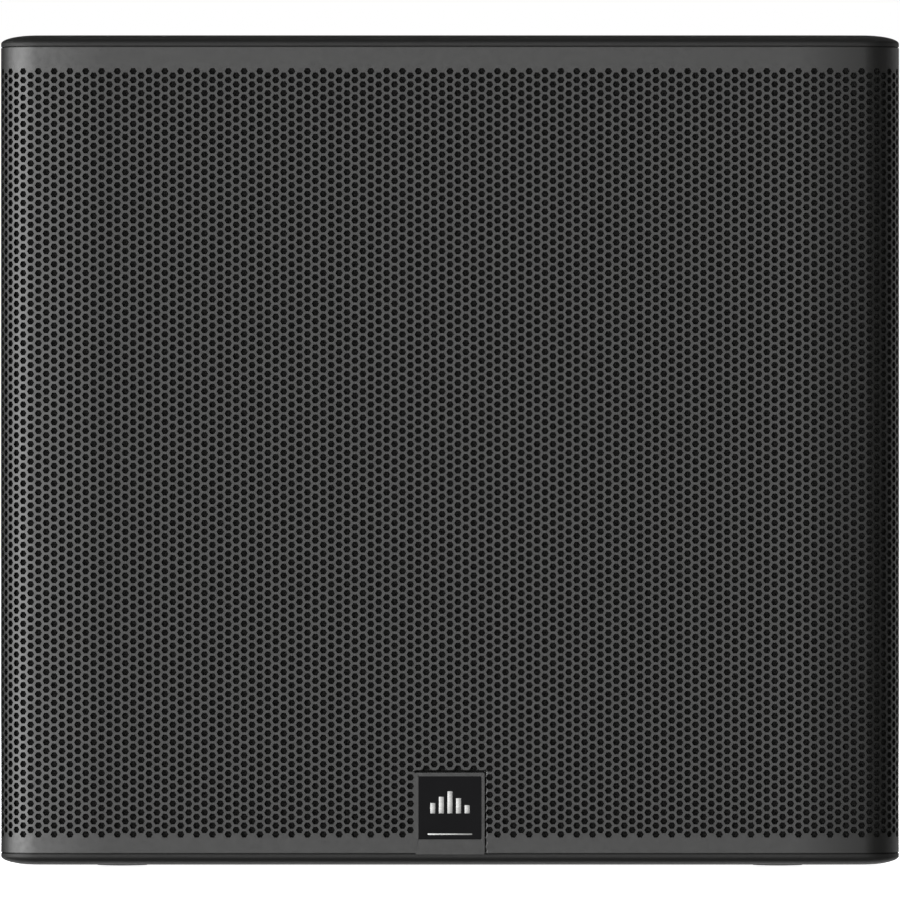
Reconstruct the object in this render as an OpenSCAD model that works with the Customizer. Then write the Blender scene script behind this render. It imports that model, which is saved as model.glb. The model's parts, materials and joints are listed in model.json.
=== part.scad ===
// Powered 18-inch bass cabinet: plywood box, wrapped steel grille, slot port, rear amplifier.
// Millimetres. +Z is up, the grille faces -Y, and the origin is at floor level under the centre.

/* [Cabinet] */
// Width across the side panels
body_w = 650; // [640:5:680]
// Height without the feet
body_h = 600; // [596:2:620]
// Depth from the face of the grille to the rear panel
body_d = 680; // [670:5:720]
// Thickness of the plywood panels
ply = 18; // [17:1:19]
// Radius of the front upright corners
corner_r = 25; // [22:1:28]
// Radius of the rear upright corners
rear_r = 12; // [8:1:14]
// How far the crowned edge of the top and bottom reaches inwards
crown_w = 25; // [15:1:30]
// Height of the crowned edge
crown_h = 6.1; // [4:0.1:7]
// Height of the upright band beside the grille
edge_h = 2.4; // [1.5:0.1:3]

/* [Grille and badge] */
// Thickness of the grille's steel sheet
sheet_t = 1.5; // [1.2:0.1:2]
// Gap between the grille and the edges above and below it
grille_gap = 0.7; // [0.4:0.1:1.2]
// How far the grille's flanges reach back along the sides
flange_len = 75; // [60:1:90]
// Thickness of the foam behind the grille
foam_t = 8; // [5:0.5:10]
// Width of the badge frame
badge_w = 50; // [44:1:56]
// Height of the badge frame
badge_h = 59; // [54:1:64]
// How far the badge frame stands proud of the grille
badge_proud = 1.5; // [1:0.1:2]
// Width and height of the glossy insert
insert_w = 45.6; // [40:0.1:46]

/* [Driver and port] */
// Outer radius of the driver's frame
frame_r = 231; // [229:0.5:233]
// Radius of the circle of driver bolts
bolt_r = 221; // [219:0.5:222]
// Number of driver bolts
bolt_n = 8; // [6:1:10]
// Distance from the face of the grille to the front of the baffle
baffle_set = 45; // [42:1:50]
// Height of the slot port
port_h = 60; // [50:1:64]
// Thickness of the port's shelf and divider
shelf_t = 15; // [12:1:18]
// Rear end of the port's shelf, measured from the centre
port_end = 65; // [50:1:66]

/* [Amplifier] */
// Width of the amplifier's face plate
amp_w = 340; // [336:1:344]
// Height of the amplifier's face plate
amp_h = 440; // [436:1:444]
// Height of the amplifier's centre above the floor
amp_z = 330; // [326:1:334]
// Thickness of the face plate
plate_t = 4; // [3.5:0.1:5]
// Number of heatsink fins
fin_n = 24; // [16:1:28]

/* [Fittings] */
// Height of the rubber feet
foot_h = 4; // [4:0.5:8]
// Radius of the rubber feet
foot_r = 20; // [16:1:24]
// Radius of the pole socket
pole_r = 17.8; // [17.6:0.05:18]
// Depth of the smooth part of the pole socket
pole_len = 65; // [55:1:70]
// Radius of the M20 thread's core below the pole socket
thread_r = 8.75; // [8.6:0.05:8.9]

/* [Hidden] */
$fn = 96;

front_y = (badge_proud - body_d) / 2;
back_y = (badge_proud + body_d) / 2;
half_w = body_w / 2;
top_z = foot_h + body_h;
lip_t = crown_h + edge_h;
floor_z = foot_h + ply;
ceil_z = top_z - ply;
inner_x = half_w - ply;
rebate = sheet_t + 0.5;
fit = 0.05;

grille_z0 = foot_h + lip_t + grille_gap;
grille_z1 = top_z - lip_t - grille_gap;
flange_y = front_y + flange_len;
screw_y = flange_y - 10;
grille_screw_z = [60, 220, 386, 546];
badge_z0 = foot_h + lip_t - 0.4;
badge_y = front_y - badge_proud;
insert_t = 0.8;

baffle_y = front_y + baffle_set;
shelf_z = floor_z + port_h;
driver_z = (shelf_z + shelf_t + ceil_z) / 2;
cone_r = 178;
coil_r = 50;
cutout_r = 212;
rim_t = 6;
surround_t = 1;
apex_y = 95;
spider_y = 110;
motor_y = 140;
front_plate_t = 14;
magnet_t = 30;
back_plate_t = 14;
magnet_r = 110;
travel = 9;

brace_y = 76;
brace_d = 70;
beam_z = 334;

handle_y = -20;
handle_z = 330;
handle_len = 180;
handle_h = 100;
handle_deep = 52;
cup_wall = 4;
bezel_w = 16;
bezel_t = 3;
grip_t = 25;
grip_h = 30;

foot_x = half_w - 85;
foot_y = 180;

amp_y = back_y - ply;
face_y = amp_y + plate_t;
ledge = 10;
chassis_d = 120;
chassis_x = amp_w / 2 - ledge - 5;
chassis_z = amp_h / 2 - ledge - 5;
board_y = face_y - 55;
flange_t = 2;
input_x = [100, 55];
input_z = amp_z - 100;
output_z = amp_z - 150;
inlet_x = -95;
inlet_z = amp_z - 170;
rocker_z = amp_z - 115;
rocker_y = face_y + flange_t - 4.2;
knob_x = 20;
knob_z = amp_z - 30;
knob_r = 15;
shaft_r = 3;
button_x = -20;
button_r = 5;
display_x = 90;
led_z = amp_z + 2;
rocker_tilt = 8;

// Route of the lead from the driver's terminals to the amplifier, and its radius
lead_r = 3;
lead_route = [
    [0, -196, 165], [3, -184, 160], [20, -150, 134], [50, -90, 112], [70, -20, 105],
    [80, 40, 106], [86, 90, 122], [84, 130, 152], [76, 165, 176], [70, 190, 182], [70, 206, 182]
];
lead_end = lead_route[len(lead_route) - 1];

// ---------- Shared shapes ----------

module box(lo, hi) translate(lo) cube(hi - lo);

module at_y(x, y, z) translate([x, y, z]) rotate([-90, 0, 0]) children();

module both_sides() for (s = [-1, 1]) scale_x(s) children();

module scale_x(s) if (s < 0) mirror([1, 0, 0]) children(); else children();

module ring(r_out, r_in, h) linear_extrude(h) difference() { circle(r_out); circle(r_in); }

// Rectangle with round corners, centred
module round_rect(w, h, r) {
    square([w - 2 * r, h], center = true);
    square([w, h - 2 * r], center = true);
    for (x = [-1, 1], y = [-1, 1]) translate([x * (w / 2 - r), y * (h / 2 - r)]) circle(r);
}

// Outline of the cabinet seen from above, drawn in by inset
module plan(inset = 0) {
    fr = max(corner_r - inset, 0.5);
    rr = max(rear_r - inset, 0.5);
    w = half_w - inset;
    y0 = front_y + inset;
    y1 = back_y - inset;
    translate([fr - w, y0]) square([2 * (w - fr), y1 - y0 - rr]);
    translate([-w, y0 + fr]) square([2 * w, y1 - y0 - fr - rr]);
    translate([rr - w, y1 - rr - 1]) square([2 * (w - rr), rr + 1]);
    for (s = [-1, 1]) {
        translate([s * (w - fr), y0 + fr]) circle(fr);
        translate([s * (w - rr), y1 - rr]) circle(rr);
    }
}

// Band of the outline between two insets, ahead of a given y
module wrap(inset_a, inset_b, y_end) {
    intersection() {
        difference() { plan(inset_a); plan(inset_b); }
        translate([-body_w, front_y - 1]) square([2 * body_w, y_end - front_y + 1]);
    }
}

// Top panel with its inner face at z = 0: a rebated plate under a lip with a crowned edge
module lidded_panel() {
    linear_extrude(ply - lip_t + 1) difference() {
        plan(0.2);
        wrap(-1, rebate, flange_y + 0.5);
    }
    translate([0, 0, ply - lip_t]) crowned_lip();
}

// Points of the outline of plan(inset), with n steps round each corner
function outline(inset, n) = [for (c = [0:3], k = [0:n])
    let (front = c < 2, side = c == 0 || c == 3 ? -1 : 1)
    let (r = max((front ? corner_r : rear_r) - inset, 1), a = 180 + 90 * (c + k / n))
    let (y = front ? front_y + inset + r : back_y - inset - r)
    [side * (half_w - inset - r) + r * cos(a), y + r * sin(a)]];

// Upright band and elliptical crown, as rings of the outline stacked upwards
module crowned_lip() {
    steps = 6;
    insets = concat([0], [for (k = [0:steps]) crown_w * (1 - cos(90 * k / steps))]);
    heights = concat([0], [for (k = [0:steps]) edge_h + crown_h * sin(90 * k / steps)]);
    n = 4 * (steps + 1);
    points = [for (i = [0:steps + 1]) for (p = outline(insets[i], steps))
        [p[0], p[1], heights[i]]];
    walls = [for (i = [0:steps], k = [0:n - 1])
        let (a = i * n + k, b = i * n + (k + 1) % n)
        each [[a, a + n, b + n], [a, b + n, b]]];
    polyhedron(points, concat(walls, [[for (k = [0:n - 1]) k]],
        [[for (k = [n - 1:-1:0]) (steps + 1) * n + k]]));
}

module pan_screw(r, h, head_r, head_h) {
    cylinder(r = r, h = h);
    translate([0, 0, h]) cylinder(r = head_r, h = head_h);
}

// ---------- Cabinet ----------

module top_panel() color("#1b1b1c") difference() {
    translate([0, 0, ceil_z]) lidded_panel();
    translate([0, 0, top_z - 3]) cylinder(r = 42, h = 4);
    translate([0, 0, ceil_z - 1]) cylinder(r = 25, h = ply + 2);
    pole_screw_spots() cylinder(r = 2.1, h = 13);
}

module bottom_panel() color("#1b1b1c") difference() {
    translate([0, 0, floor_z]) mirror([0, 0, 1]) lidded_panel();
    foot_spots() translate([0, 0, foot_h - 1]) cylinder(r = 2.1, h = 13);
}

module side_panel(s) scale_x(s) difference() {
    intersection() {
        translate([0, 0, floor_z]) linear_extrude(ceil_z - floor_z) difference() {
            plan();
            wrap(-1, sheet_t, flange_y + 0.5);
        }
        box([inner_x, front_y + corner_r + 5, 0], [half_w + 1, back_y + 1, top_z]);
    }
    handle_cut(handle_len + 2 * cup_wall, handle_h + 2 * cup_wall, 14, ply + 1);
    handle_cut(handle_len + 2 * bezel_w, handle_h + 2 * bezel_w, 20, bezel_t);
    handle_screw_spots() cylinder(r = 2.1, h = 14);
    for (z = grille_screw_z) translate([inner_x + 1.5, screw_y, z]) rotate([0, 90, 0])
        cylinder(r = 2.1, h = 20);
}

module handle_cut(len, height, r, deep) translate([half_w - deep, handle_y, handle_z])
    rotate([0, 90, 0]) linear_extrude(deep + 1) round_rect(height, len, r);

module handle_screw_spots() for (y = [-1, 1], z = [-1, 1])
    translate([half_w - bezel_t - 13, handle_y + y * (handle_len / 2 + 10),
        handle_z + z * (handle_h / 2 - 10)]) rotate([0, 90, 0]) children();

module side_panel_L() color("#1b1b1c") side_panel(-1);

module side_panel_R() color("#1b1b1c") side_panel(1);

module rear_panel() color("#1b1b1c") difference() {
    box([-inner_x, back_y - ply, floor_z], [inner_x, back_y, ceil_z]);
    at_y(0, back_y - ply - 1, amp_z) linear_extrude(ply + 2) round_rect(amp_w + 4, amp_h + 4, 8);
}

module front_baffle() color("#202021") difference() {
    box([-inner_x, baffle_y, shelf_z + shelf_t], [inner_x, baffle_y + ply, ceil_z]);
    at_y(0, baffle_y - 1, driver_z) cylinder(r = cutout_r, h = ply + 2);
    driver_bolt_spots() cylinder(r = 4.1, h = ply + 10);
}

module port_shelf() color("#202021")
    box([-inner_x, baffle_y, shelf_z], [inner_x, port_end, shelf_z + shelf_t]);

module port_divider() color("#202021")
    box([-shelf_t / 2, baffle_y, floor_z], [shelf_t / 2, port_end, shelf_z]);

// The two braces cross with a half-lap joint
module brace_horizontal() color("#b08a5a") difference() {
    box([-inner_x, brace_y, beam_z], [inner_x, brace_y + brace_d, beam_z + ply]);
    box([-ply / 2, brace_y + brace_d / 2, beam_z - 1], [ply / 2, back_y, beam_z + ply + 1]);
}

module brace_vertical() color("#b08a5a") difference() {
    box([-ply / 2, brace_y, floor_z], [ply / 2, brace_y + brace_d, ceil_z]);
    box([-ply, brace_y - 1, beam_z], [ply, brace_y + brace_d / 2, beam_z + ply]);
}

// Ledge that the amplifier's plate is screwed to
module amp_frame() color("#b08a5a") difference() {
    at_y(0, amp_y - ply, amp_z) linear_extrude(ply) difference() {
        square([amp_w + 60, amp_h + 60], center = true);
        square([amp_w - 2 * ledge, amp_h - 2 * ledge], center = true);
    }
    amp_screw_spots() translate([0, 0, -16]) cylinder(r = 2.3, h = 17);
}

// Soft slabs on both side walls and under the top
module damping_wadding() color("#c9c4b6") {
    both_sides() box([inner_x - 26, 150, 110], [inner_x - 1, 296, 550]);
    box([-270, 150, ceil_z - 26], [270, 296, ceil_z - 1]);
}

// ---------- Grille and badge ----------

module grille() color("#555553") difference() {
    translate([0, 0, grille_z0]) linear_extrude(grille_z1 - grille_z0)
        wrap(0, sheet_t, flange_y);
    grille_screw_spots() cylinder(r = 4.6, h = 4);
}

module grille_screw_spots() both_sides() for (z = grille_screw_z)
    translate([half_w - sheet_t - 0.5, screw_y, z]) rotate([0, 90, 0]) children();

module grille_screws() color("#2a2a2a") grille_screw_spots() difference() {
    translate([0, 0, -14]) pan_screw(2, 14.5, 4.5, sheet_t);
    translate([0, 0, sheet_t]) cylinder(r = 1.5, h = 1, $fn = 6);
}

module grille_foam() color("#141414")
    translate([0, 0, floor_z + 0.5]) linear_extrude(ceil_z - floor_z - 1)
        wrap(sheet_t + 0.8, sheet_t + 0.8 + foam_t, front_y + corner_r + 3.5);

module badge_frame() color("#5a5a58") difference() {
    at_y(0, badge_y, badge_z0 + badge_h / 2) linear_extrude(badge_proud)
        round_rect(badge_w, badge_h, 1);
    at_y(0, badge_y - 1, badge_z0 + badge_h - insert_w / 2 - 2.6)
        linear_extrude(1 + insert_t) round_rect(insert_w, insert_w, 0.8);
}

module badge_insert() color("#0b0b0c")
    at_y(0, badge_y + 0.2, badge_z0 + badge_h - insert_w / 2 - 2.6)
        linear_extrude(insert_t - 0.2) round_rect(insert_w - 0.1, insert_w - 0.1, 0.8);

// ---------- Driver ----------

module driver() at_y(0, baffle_y, driver_z) children();

module driver_bolt_spots() driver() for (i = [0:bolt_n - 1])
    rotate(360 / bolt_n * (i + 0.5)) translate([bolt_r, 0, -rim_t]) children();

// Cast frame: a rim, a skirt, and a cone cut into eight legs
module driver_basket() color("#2b2c2e") difference() {
    driver() rotate_extrude() polygon([
        [204, 0], [204, -rim_t], [frame_r, -rim_t], [frame_r, 0], [210, 0], [210, 22],
        [126, motor_y], [100, motor_y], [100, motor_y - 8], [120, motor_y - 8],
        [122, spider_y + 0.4], [136, spider_y + 0.4], [200, 20]
    ]);
    driver() for (i = [0:7]) rotate(45 * i + 22.5) translate([0, 0, 30])
        linear_extrude(spider_y - 36) polygon([[118, -30], [118, 30], [216, 64], [216, -64]]);
    driver_bolt_spots() translate([0, 0, -1]) cylinder(r = 4.1, h = rim_t + 2);
}

module driver_gasket() color("#1a1a1a")
    driver() translate([0, 0, -rim_t - surround_t - 3]) ring(214, 205, 3);

module driver_bolts() color("#8a8a8a") driver_bolt_spots() {
    translate([0, 0, -5]) difference() {
        cylinder(r = 6.4, h = 5);
        translate([0, 0, -1]) cylinder(r = 3.4, h = 4, $fn = 6);
    }
    cylinder(r = 4, h = rim_t + ply + 6);
}

// Half-roll of impregnated cloth between the frame and the cone
module surround() color("#151515") driver() rotate_extrude() union() {
    translate([203, -rim_t - surround_t]) square([11, surround_t]);
    translate([191, -rim_t - surround_t]) intersection() {
        difference() { circle(13); circle(12); }
        translate([-14, -14]) square([28, 14]);
    }
    translate([cone_r - 6, -rim_t - surround_t]) square([7, surround_t]);
}

// Straight-sided cone with a stiff rim that the surround is glued to
module cone() color("#1d1d1e") driver() rotate_extrude() polygon([
    [cone_r - 6, -rim_t], [cone_r, -rim_t], [cone_r, 2 - rim_t], [coil_r + 2, apex_y + 2],
    [coil_r + 0.45, apex_y + 2], [coil_r + 0.45, apex_y]
]);

module dust_cap() color("#161617") driver() translate([0, 0, apex_y + 55.3]) rotate_extrude()
    intersection() {
        difference() { circle(92); circle(90.5); }
        translate([0, -93]) square([63.3, 27]);
    }

// Flat corrugated suspension behind the cone
module spider() color("#a8752f") driver() translate([0, 0, spider_y])
    rotate_extrude() union() {
        for (i = [0:5]) translate([59 + 11.2 * i, 0]) difference() {
            circle(6);
            circle(5.2);
            translate([-7, i % 2 == 0 ? -7 : 0]) square([14, 7]);
        }
        translate([coil_r + 0.6, -0.4]) square([3.2, 0.8]);
        translate([120.2, -0.4]) square([13.8, 0.8]);
    }

module voice_coil() color("#b46a38") driver() translate([0, 0, apex_y - 4]) {
    ring(coil_r + 0.4, coil_r, 74);
    translate([0, 0, 42]) ring(coil_r + 1.4, coil_r + 0.4, 24);
}

module front_plate() color("#6f7275")
    driver() translate([0, 0, motor_y]) ring(magnet_r - 6, coil_r + 2.6, front_plate_t);

module magnet_ring() color("#2e2e30") driver()
    translate([0, 0, motor_y + front_plate_t]) ring(magnet_r, coil_r + 12, magnet_t);

module back_plate() color("#6f7275") driver() difference() {
    union() {
        translate([0, 0, motor_y + front_plate_t + magnet_t])
            cylinder(r = magnet_r - 6, h = back_plate_t);
        translate([0, 0, motor_y]) cylinder(r = coil_r - 1.5, h = front_plate_t + magnet_t + 1);
    }
    translate([0, 0, motor_y - 1]) cylinder(r = 18, h = 80);
}

// Block of screw terminals on the frame's lowest leg
module terminal_block() color("#7a1f1f") translate([-16, baffle_y, driver_z])
    rotate([90, 0, 90]) linear_extrude(32)
        polygon([[68, -177.4], [98, -156.1], [98, -188], [76, -188]]);

// One point of the smooth curve through the route, between points i and i + 1
function route_at(i, t) =
    let (n = len(lead_route) - 1)
    let (a = lead_route[max(i - 1, 0)], b = lead_route[i])
    let (c = lead_route[min(i + 1, n)], d = lead_route[min(i + 2, n)])
    0.5 * (2 * b + (c - a) * t + (2 * a - 5 * b + 4 * c - d) * t * t
        + (3 * b - a - 3 * c + d) * t * t * t);

module driver_lead() color("#111111") {
    steps = 3;
    sides = 8;
    path = [for (i = [0:len(lead_route) - 2], k = [0:steps - 1]) route_at(i, k / steps),
        lead_route[len(lead_route) - 1]];
    last = len(path) - 1;
    rings = [for (i = [0:last])
        let (ahead = path[min(i + 1, last)] - path[max(i - 1, 0)])
        let (f = ahead / norm(ahead), side = cross(f, [0, 0, 1]))
        let (u = side / norm(side), v = cross(u, f))
        for (k = [0:sides - 1]) path[i]
            + lead_r * (cos(360 * k / sides) * u + sin(360 * k / sides) * v)];
    walls = [for (i = [0:last - 1], k = [0:sides - 1])
        [i * sides + k, i * sides + (k + 1) % sides,
            (i + 1) * sides + (k + 1) % sides, (i + 1) * sides + k]];
    polyhedron(rings, concat(walls, [[for (k = [sides - 1:-1:0]) k]],
        [[for (k = [0:sides - 1]) last * sides + k]]));
}

// ---------- Pole socket, handles and feet ----------

module pole_screw_spots() translate([0, 0, top_z - 15]) for (a = [45:90:315])
    rotate(a) translate([33.5, 0, 0]) children();

module pole_cup() color("#252526") difference() {
    union() {
        translate([0, 0, top_z - 3]) cylinder(r = 41.8, h = 3);
        translate([0, 0, top_z - pole_len - 24]) cylinder(r = 24.8, h = pole_len + 22);
    }
    translate([0, 0, top_z - pole_len]) cylinder(r = pole_r, h = pole_len + 1);
    translate([0, 0, top_z - pole_len - 20]) cylinder(r = thread_r, h = 21);
    pole_screw_spots() cylinder(r = 2.1, h = 16);
    pole_screw_spots() translate([0, 0, 13.2]) cylinder(r1 = 2.1, r2 = 4.1, h = 1.81);
}

module pole_cup_screws() color("#3a3a3a") pole_screw_spots() difference() {
    union() {
        cylinder(r = 2, h = 14);
        translate([0, 0, 13.3]) cylinder(r1 = 2, r2 = 3.8, h = 1.6);
    }
    translate([0, 0, 13.6]) cylinder(r = 1.3, h = 2, $fn = 6);
}

// Moulded pocket with a flush bezel
module handle_cup(s) scale_x(s) difference() {
    union() {
        handle_cut_flush(handle_len + 2 * bezel_w - 0.6, handle_h + 2 * bezel_w - 0.6, 19.7, 0,
            bezel_t);
        handle_cut_flush(handle_len + 2 * cup_wall - 0.4, handle_h + 2 * cup_wall - 0.4, 13.8, 0,
            handle_deep + cup_wall);
    }
    translate([half_w - handle_deep, handle_y, handle_z]) rotate([0, 90, 0])
        linear_extrude(handle_deep + 1) round_rect(handle_h, handle_len, 10);
    handle_screw_spots() cylinder(r = 2.1, h = 30);
    handle_screw_spots() translate([0, 0, 14.2]) cylinder(r1 = 2.1, r2 = 4.1, h = 1.81);
}

module handle_cut_flush(len, height, r, from, deep) translate([half_w - deep, handle_y, handle_z])
    rotate([0, 90, 0]) linear_extrude(deep - from) round_rect(height, len, r);

module handle_cup_L() color("#222223") handle_cup(-1);

module handle_cup_R() color("#222223") handle_cup(1);

// Bar across the upper part of the pocket, with a rounded section
module handle_grip(s) scale_x(s)
    translate([half_w - 2 - grip_t / 2, handle_y - handle_len / 2, handle_z + 25])
        rotate([-90, 0, 0]) linear_extrude(handle_len) round_rect(grip_t, grip_h, 11);

module handle_grip_L() color("#1a1a1a") handle_grip(-1);

module handle_grip_R() color("#1a1a1a") handle_grip(1);

module handle_screws() color("#3a3a3a") both_sides() handle_screw_spots() difference() {
    union() {
        cylinder(r = 2, h = 15);
        translate([0, 0, 14.3]) cylinder(r1 = 2, r2 = 3.8, h = 1.6);
    }
    translate([0, 0, 14.6]) cylinder(r = 1.3, h = 2, $fn = 6);
}

module foot_spots() for (x = [-1, 1], y = [-1, 1]) translate([x * foot_x, y * foot_y, 0])
    children();

module feet() color("#161616") foot_spots() difference() {
    cylinder(r1 = foot_r - 1, r2 = foot_r, h = foot_h);
    translate([0, 0, -1]) cylinder(r = 6, h = foot_h - 1);
    cylinder(r = 2.1, h = foot_h + 1);
}

module foot_screws() color("#8a8a8a") foot_spots() {
    translate([0, 0, foot_h - 3.5]) difference() {
        cylinder(r = 5, h = 1.5);
        translate([0, 0, -1]) cylinder(r = 1.6, h = 1.8, $fn = 6);
    }
    cylinder_from(2, foot_h - 2, foot_h + 11);
}

module cylinder_from(r, z0, z1) translate([0, 0, z0]) cylinder(r = r, h = z1 - z0);

// ---------- Amplifier ----------

module amp_screw_spots() for (x = [-1, 1], z = [-1, -0.33, 0.33, 1])
    at_y(x * (amp_w / 2 - 5), amp_y, amp_z + z * (amp_h / 2 - 6)) children();

module input_spots() for (x = input_x) at_y(x, amp_y, input_z) children();

module output_spots() for (x = input_x) at_y(x, amp_y, output_z) children();

// Local frame of a socket: x as the cabinet's, y points down, z points backwards
module latch_slot(side, extra) translate([-side / 2, -15 + extra, -21])
    cube([side, 4 - 2 * extra, 30]);

module amp_plate() color("#2a2b2d") difference() {
    union() {
        at_y(0, amp_y, amp_z) linear_extrude(plate_t) round_rect(amp_w, amp_h, 6);
        at_y(knob_x, amp_y - 8, knob_z) cylinder(r = 6, h = 9);
    }
    amp_screw_spots() translate([0, 0, -1]) cylinder(r = 2.6, h = 10);
    input_spots() translate([0, 0, -1]) cylinder(r = 12.2, h = 10);
    input_spots() latch_slot(9, -0.2);
    output_spots() translate([0, 0, -1]) cylinder(r = 12.2, h = 10);
    at_y(inlet_x, amp_y - 1, inlet_z) linear_extrude(10) square([30.4, 22.4], center = true);
    at_y(inlet_x, amp_y - 1, rocker_z) linear_extrude(10) square([23.4, 27.4], center = true);
    at_y(knob_x, amp_y - 10, knob_z) cylinder(r = shaft_r + fit, h = 20);
    at_y(button_x, amp_y - 1, knob_z) cylinder(r = button_r + 0.3, h = 10);
    at_y(display_x, amp_y - 1, knob_z) linear_extrude(10) square([62.4, 34.4], center = true);
    led_spots() translate([0, 0, -1]) cylinder(r = 2.1, h = 10);
}

module heatsink() color("#1c1c1d") {
    z0 = amp_z + 22;
    z1 = amp_z + 202;
    box([-150, face_y, z0], [150, face_y + 3, z1]);
    for (i = [0:fin_n - 1]) translate([-149 + i * 296 / (fin_n - 1), face_y + 2, z0])
        cube([2, 10, z1 - z0]);
}

// Steel tray behind the plate, with four posts for the board
module amp_chassis() color("#9a9c9e") {
    difference() {
        box([-chassis_x, amp_y - chassis_d, amp_z - chassis_z],
            [chassis_x, amp_y, amp_z + chassis_z]);
        box([2 - chassis_x, amp_y - chassis_d + 2, amp_z - chassis_z + 2],
            [chassis_x - 2, amp_y + 1, amp_z + chassis_z - 2]);
        at_y(lead_end[0], amp_y - chassis_d - 1, lead_end[2]) cylinder(r = lead_r + 0.4, h = 4);
    }
    for (x = [-1, 1], z = [0, 1]) at_y(x * 130, amp_y - chassis_d + 1, amp_z - 185 + z * 160)
        cylinder(r = 4, h = board_y - amp_y + chassis_d - 1);
}

module circuit_board() color("#1f5a34")
    box([-140, board_y, amp_z - 195], [140, board_y + 1.6, amp_z - 15]);

module board_components() color("#333333") {
    for (i = [0:4]) at_y(-100 + 38 * i, board_y - 32, amp_z - 50) cylinder(r = 13, h = 32);
    for (i = [0:2]) at_y(-80 + 60 * i, board_y - 22, amp_z - 110) ring(18, 8, 22);
    for (i = [0:7]) box([-110 + 28 * i, board_y - 18, amp_z - 160],
        [-96 + 28 * i, board_y, amp_z - 154]);
}

module power_transformer() color("#c59a3b")
    at_y(0, amp_y - chassis_d + 2, amp_z + 110) ring(60, 18, 52);

module amp_screws() color("#1a1a1a") amp_screw_spots() difference() {
    translate([0, 0, -14]) pan_screw(2.2, 14 + plate_t, 4.5, 2.6);
    translate([0, 0, plate_t + 1.2]) cylinder(r = 1.5, h = 3, $fn = 6);
}

module display_window() color("#0c1418") at_y(display_x, amp_y + 1, knob_z)
    linear_extrude(plate_t - 0.4) round_rect(62, 34, 1);

module led_spots() for (i = [0:3]) at_y(display_x - 24 + 16 * i, amp_y, led_z) children();

module status_leds() color("#3f8f4a") led_spots() translate([0, 0, -2])
    cylinder(r = 2, h = plate_t + 2.6);

module socket_body() {
    translate([0, 0, plate_t]) linear_extrude(flange_t) round_rect(26, 31, 3);
    translate([0, 0, -20]) cylinder(r = 12, h = 21 + plate_t);
}

module socket_hollow() translate([0, 0, plate_t + flange_t - 14]) cylinder(r = 9.5, h = 15);

module input_sockets() color("#303030") input_spots() difference() {
    socket_body();
    socket_hollow();
    translate([0, 0, -16]) cylinder(r = 3.3, h = 20);
    latch_slot(8.6, 0);
}

module output_sockets() color("#303030") output_spots() {
    difference() {
        socket_body();
        socket_hollow();
    }
    for (a = [90, 210, 330]) rotate(a) translate([3.6, 0, plate_t + flange_t - 15])
        cylinder(r = 1.2, h = 12);
}

module mains_inlet() color("#141414") at_y(inlet_x, amp_y, inlet_z) {
    difference() {
        union() {
            translate([0, 0, plate_t]) linear_extrude(flange_t) round_rect(50, 28, 4);
            translate([-15, -11, -18]) cube([30, 22, 19 + plate_t]);
        }
        translate([0, 0, plate_t + flange_t - 17]) linear_extrude(18) round_rect(24.5, 17, 2);
    }
    for (p = [[0, -3.5], [-7, 0], [7, 0]])
        translate([p[0] - 1, p[1] - 2, plate_t + flange_t - 18]) cube([2, 4, 14]);
}

module switch_bezel() color("#161616") difference() {
    at_y(inlet_x, amp_y, rocker_z) difference() {
        union() {
            translate([0, 0, plate_t]) linear_extrude(flange_t) round_rect(30, 34, 2);
            translate([-11.5, -13.5, -16]) cube([23, 27, 17 + plate_t]);
        }
        translate([-9, -10.3, -13]) cube([18, 20.6, 30]);
    }
    translate([inlet_x, rocker_y, rocker_z]) rotate([0, 90, 0])
        cylinder(r = 1.2 + fit, h = 21, center = true);
}

// Rocker: a shallow V on a pivot pin, at rest tilted to its off side
module power_rocker() color("#101010") translate([inlet_x, rocker_y, rocker_z]) {
    rotate([-rocker_tilt, 0, 0]) rotate([90, 0, 90]) translate([0, 0, -8.7])
        linear_extrude(17.4) intersection() {
            circle(10);
            polygon([[-3, -10], [3.6 + 10 * tan(rocker_tilt), -10], [3.6, 0],
                [3.6 + 10 * tan(rocker_tilt), 10], [-3, 10]]);
        }
    rotate([0, 90, 0]) cylinder(r = 1.2, h = 20.6, center = true);
}

module encoder_shaft() color("#a0a0a0") at_y(knob_x, 0, knob_z) {
    cylinder_from(shaft_r, amp_y - 16, face_y + 10);
    cylinder_from(5, amp_y - 13, amp_y - 8.4);
}

module select_knob() color("#19191a") at_y(knob_x, 0, knob_z) difference() {
    union() {
        cylinder_from(knob_r, face_y + 1.6, face_y + 12);
        translate([0, 0, face_y + 12]) cylinder(r1 = knob_r, r2 = knob_r - 1.2, h = 1);
    }
    cylinder_from(shaft_r + fit, face_y, face_y + 11.2);
    for (i = [0:23]) rotate(15 * i) translate([knob_r + 0.3, 0, face_y]) cylinder(r = 1, h = 20);
    translate([0, -10, face_y + 12.4]) cylinder(r = 1.4, h = 3);
}

module menu_button() color("#3a3a3c") at_y(button_x, 0, knob_z) {
    cylinder_from(button_r, amp_y - 4, face_y + 3);
    cylinder_from(button_r + 1.5, amp_y - 4, amp_y - 0.4);
}

module latch(i) at_y(input_x[i], amp_y, input_z) translate([-4, -14.7, -8])
    cube([8, 3.4, plate_t + flange_t + 8 + 2.5]);

module latch_1() color("#b0b0b0") latch(0);

module latch_2() color("#b0b0b0") latch(1);

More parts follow.
